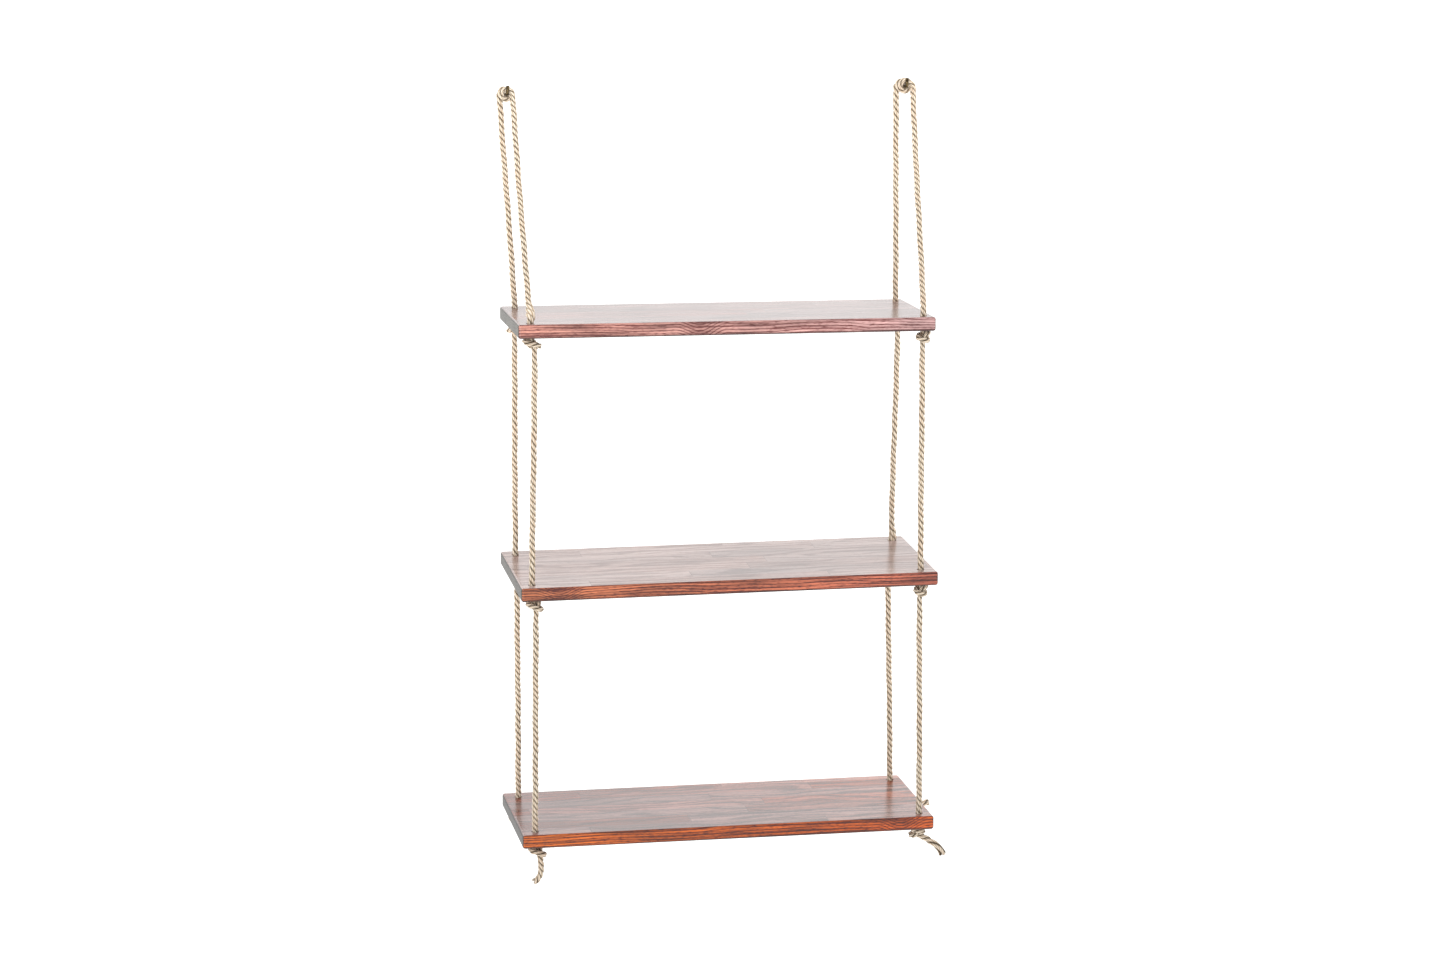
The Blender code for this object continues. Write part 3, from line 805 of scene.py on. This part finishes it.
def laid_rope(name, path, row):
    """The rope's mesh: three strands laid round the path, stray fibres and frayed ends."""
    chance = np.random.default_rng(row["seed"])
    line = smooth_line(path, LINE_STEP)
    width = line[:, 3] * CROWN_SHARE
    line = line[:, :3]
    slack = row["slack"] * np.exp(-(np.linalg.norm(line - row["slack_at"], axis=1) / SLACK_REACH) ** 2)
    arc = along(line)
    line[:, 0] += SLACK_LEAN * slack + WAVER * np.sin(arc / WAVER_REACH) * np.sin(arc / DRIFT_REACH)
    loose = row["front_loose"] * np.clip(1 - (arc[-1] - arc) / LOOSE_REACH, 0, 1)
    width = width * (1 + LOOSE_SWELL * loose)
    ahead, across = side_vectors(line)
    third = np.cross(ahead, across)
    to_end = np.minimum(arc, arc[-1] - arc)
    fray = np.clip(1 - to_end / FRAY_LENGTH, 0, 1) ** 1.5
    parts = dict(spots=[], faces=[], cover=[], count=0)
    strand_ends = []
    for strand in range(STRANDS):
        # The angle falls along the rope, which is what lays the strands as an S.
        turns = arc / LAY_LENGTH + LAY_DRIFT * np.sin(arc / DRIFT_REACH) - LOOSE_TURNS * loose**2
        angle = 2 * math.pi * (strand / STRANDS - turns)
        outward = np.cos(angle)[:, None] * across + np.sin(angle)[:, None] * third
        radii = width * STRAND_SHARE * (1 - FRAY_THINNING * fray + SLACK_FLUFF * slack)
        swell = 1 + STRAND_SWELL * np.sin(arc * SWELL_RATES[strand] + 2 * strand)
        offset = width / 2 - radii + FRAY_SPREAD * fray * (1 + FRAY_UNEVENNESS * strand)
        offset += SLACK_SPREAD * slack * (1 + SLACK_UNEVENNESS * strand)
        centres = line + offset[:, None] * outward
        strand_ahead = unit(np.gradient(centres, axis=0))
        strand_out = unit(outward - (outward * strand_ahead).sum(1, keepdims=True) * strand_ahead)
        strand_arc = along(centres) / YARN_TURN
        add_tube(parts, centres, strand_out, strand_ahead, radii * swell, STRAND_SIDES, strand_arc)
        strand_ends.append((centres[0], -strand_ahead[0], radii[0]))
        strand_ends.append((centres[-1], strand_ahead[-1], radii[-1]))
    for _ in range(STRAY_FIBRES):
        index = chance.integers(6, len(line) - 6)
        turn = chance.uniform(0, 2 * math.pi)
        out = math.cos(turn) * across[index] + math.sin(turn) * third[index]
        root = line[index] + out * width[index] * FIBRE_ROOT_SHARE
        lean = ahead[index] * chance.uniform(-1.4, 1.4)
        side = np.cross(ahead[index], out) * chance.uniform(-0.9, 0.9)
        direction = unit(out * chance.uniform(0.35, 0.9) + lean + side)
        droop = chance.normal(0, 0.25, 3)
        length, thickness = chance.uniform(*FIBRE_LENGTHS), chance.uniform(*FIBRE_WIDTHS)
        add_fibre(parts, root, direction, droop, length, thickness)
    for centre, way, radius in strand_ends:
        for _ in range(END_FIBRES):
            root = centre - way * END_FIBRE_ROOT + chance.normal(0, 0.4, 3) * radius
            direction = unit(way + chance.normal(0, 0.14, 3))
            droop = chance.normal(0, 0.1, 3)
            length, thickness = chance.uniform(*END_FIBRE_LENGTHS), chance.uniform(*END_FIBRE_WIDTHS)
            add_fibre(parts, root, direction, droop, length, thickness)
    mesh = bpy.data.meshes.new(name)
    mesh.from_pydata(np.concatenate(parts["spots"]), [], parts["faces"])
    cover = mesh.uv_layers.new(name="strand")
    cover.data.foreach_set("uv", np.concatenate(parts["cover"]).astype(np.float32).ravel())
    mesh.shade_smooth()
    rope = bpy.data.objects.new(name, mesh)
    bpy.context.scene.collection.objects.link(rope)
    return rope


# Natural laid rope is long bast fibre spun to yarns, laid to strands and laid again. It is
# cream and quite matt. The tan between the yarns is painted shade, over a fibre noise that
# varies its tone, and the grooves between strands get a darker painted shade. Its fibres are
# drawn about 0.2 by 2 mm, coarser than real ones so that they show, and the fibre's own
# colour drifts over 20 mm.
# How far forward and how far down the painted shade on the rope reaches.
FRONT_SHADE_REACH = (-0.02, -0.16)
LOW_SHADE_REACH = (-0.30, -0.82)
fibre_rope, tree, shader = new_finish("natural_laid_rope")
cover = add(tree, "UVMap", take="UV", uv_map="strand")
u, v = add(tree, "SeparateXYZ", (cover,), slice(0, 2))
yarn_turn = add(tree, "Math", (u, v), operation="SUBTRACT")
yarn = add(tree, "Math", (yarn_turn, math.pi * YARNS), operation="MULTIPLY")
yarn = add(tree, "Math", (yarn,), operation="SINE")
yarn = add(tree, "Math", (yarn,), operation="ABSOLUTE")
hairs = add(tree, "CombineXYZ", (yarn_turn, v))
hairs = add(tree, "Mapping", {"Vector": hairs, "Scale": (70.0, 9.0, 1.0)})
hairs = add(tree, "TexNoise", {"Vector": hairs, "Scale": 1.0, "Detail": 3.0, "Roughness": 0.6})
height = add(tree, "Math", (hairs, 0.5, yarn), operation="MULTIPLY_ADD")
# Painted shade: the fibre is tan where it lies low between the yarns, and the hair noise varies its tone.
yarn_shade_and_tone = add(tree, "MapRange", (height, 0.3, 1.25, 0.0, 1.0))
fibre = add(tree, "Mix", {0: yarn_shade_and_tone, 6: paint("a08c70"), 7: paint("f5ebdd")}, 2, data_type="RGBA")
place = add(tree, "TexCoord", take="Object")
stain = add(tree, "TexNoise", {"Vector": place, "Scale": 55.0, "Detail": 3.0})
stain = add(tree, "MapRange", (stain, 0.4, 0.75, 0.0, 0.35))
fibre = add(tree, "Mix", {0: stain, 6: fibre, 7: paint("d8bba6")}, 2, data_type="RGBA")
# The cosine of u is one on a strand's crown and falls towards the groove between strands, which is
# painted a dark brown as shade.
groove_shade_mask = add(tree, "Math", (u, 2 * math.pi), operation="MULTIPLY")
groove_shade_mask = add(tree, "Math", (groove_shade_mask,), operation="COSINE")
groove_shade_mask = add(tree, "MapRange", (groove_shade_mask, 0.02, 0.88, 0.0, 1.0))
fibre = add(tree, "Mix", {0: groove_shade_mask, 6: paint("4c3e2d"), 7: fibre}, 2, data_type="RGBA")
# Painted shade: the low and the front lengths are drawn a shade darker, as the light falls from above and
# behind.
front, height_up = add(tree, "SeparateXYZ", (place,), slice(1, 3))
front = add(tree, "MapRange", (front, *FRONT_SHADE_REACH, 0.0, 0.16))
low = add(tree, "MapRange", (height_up, *LOW_SHADE_REACH, 0.0, 0.20))
painted_shade_value = add(tree, "Math", (1.08, front), operation="SUBTRACT")
painted_shade_value = add(tree, "Math", (painted_shade_value, low), operation="SUBTRACT")
fibre = add(tree, "HueSaturation", {"Color": fibre, "Saturation": 1.25, "Value": painted_shade_value})
tree.links.new(fibre, shader.inputs["Base Color"])
shader.inputs["Roughness"].default_value = 0.92
shader.inputs["Specular IOR Level"].default_value = 0.3
shader.inputs["Sheen Weight"].default_value = 0.2
shader.inputs["Sheen Roughness"].default_value = 0.5
twist = add(tree, "Bump", {"Height": height, "Strength": 0.9, "Distance": 0.0003})
tree.links.new(twist, shader.inputs["Normal"])

overhand = tight_knot()
for node, row in ROPES.items():
    rope = laid_rope(node.replace("rope", "laid_rope"), rope_path(overhand, row), row)
    rope.data.materials.append(fibre_rope)
    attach(rope, "root")
    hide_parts(node)
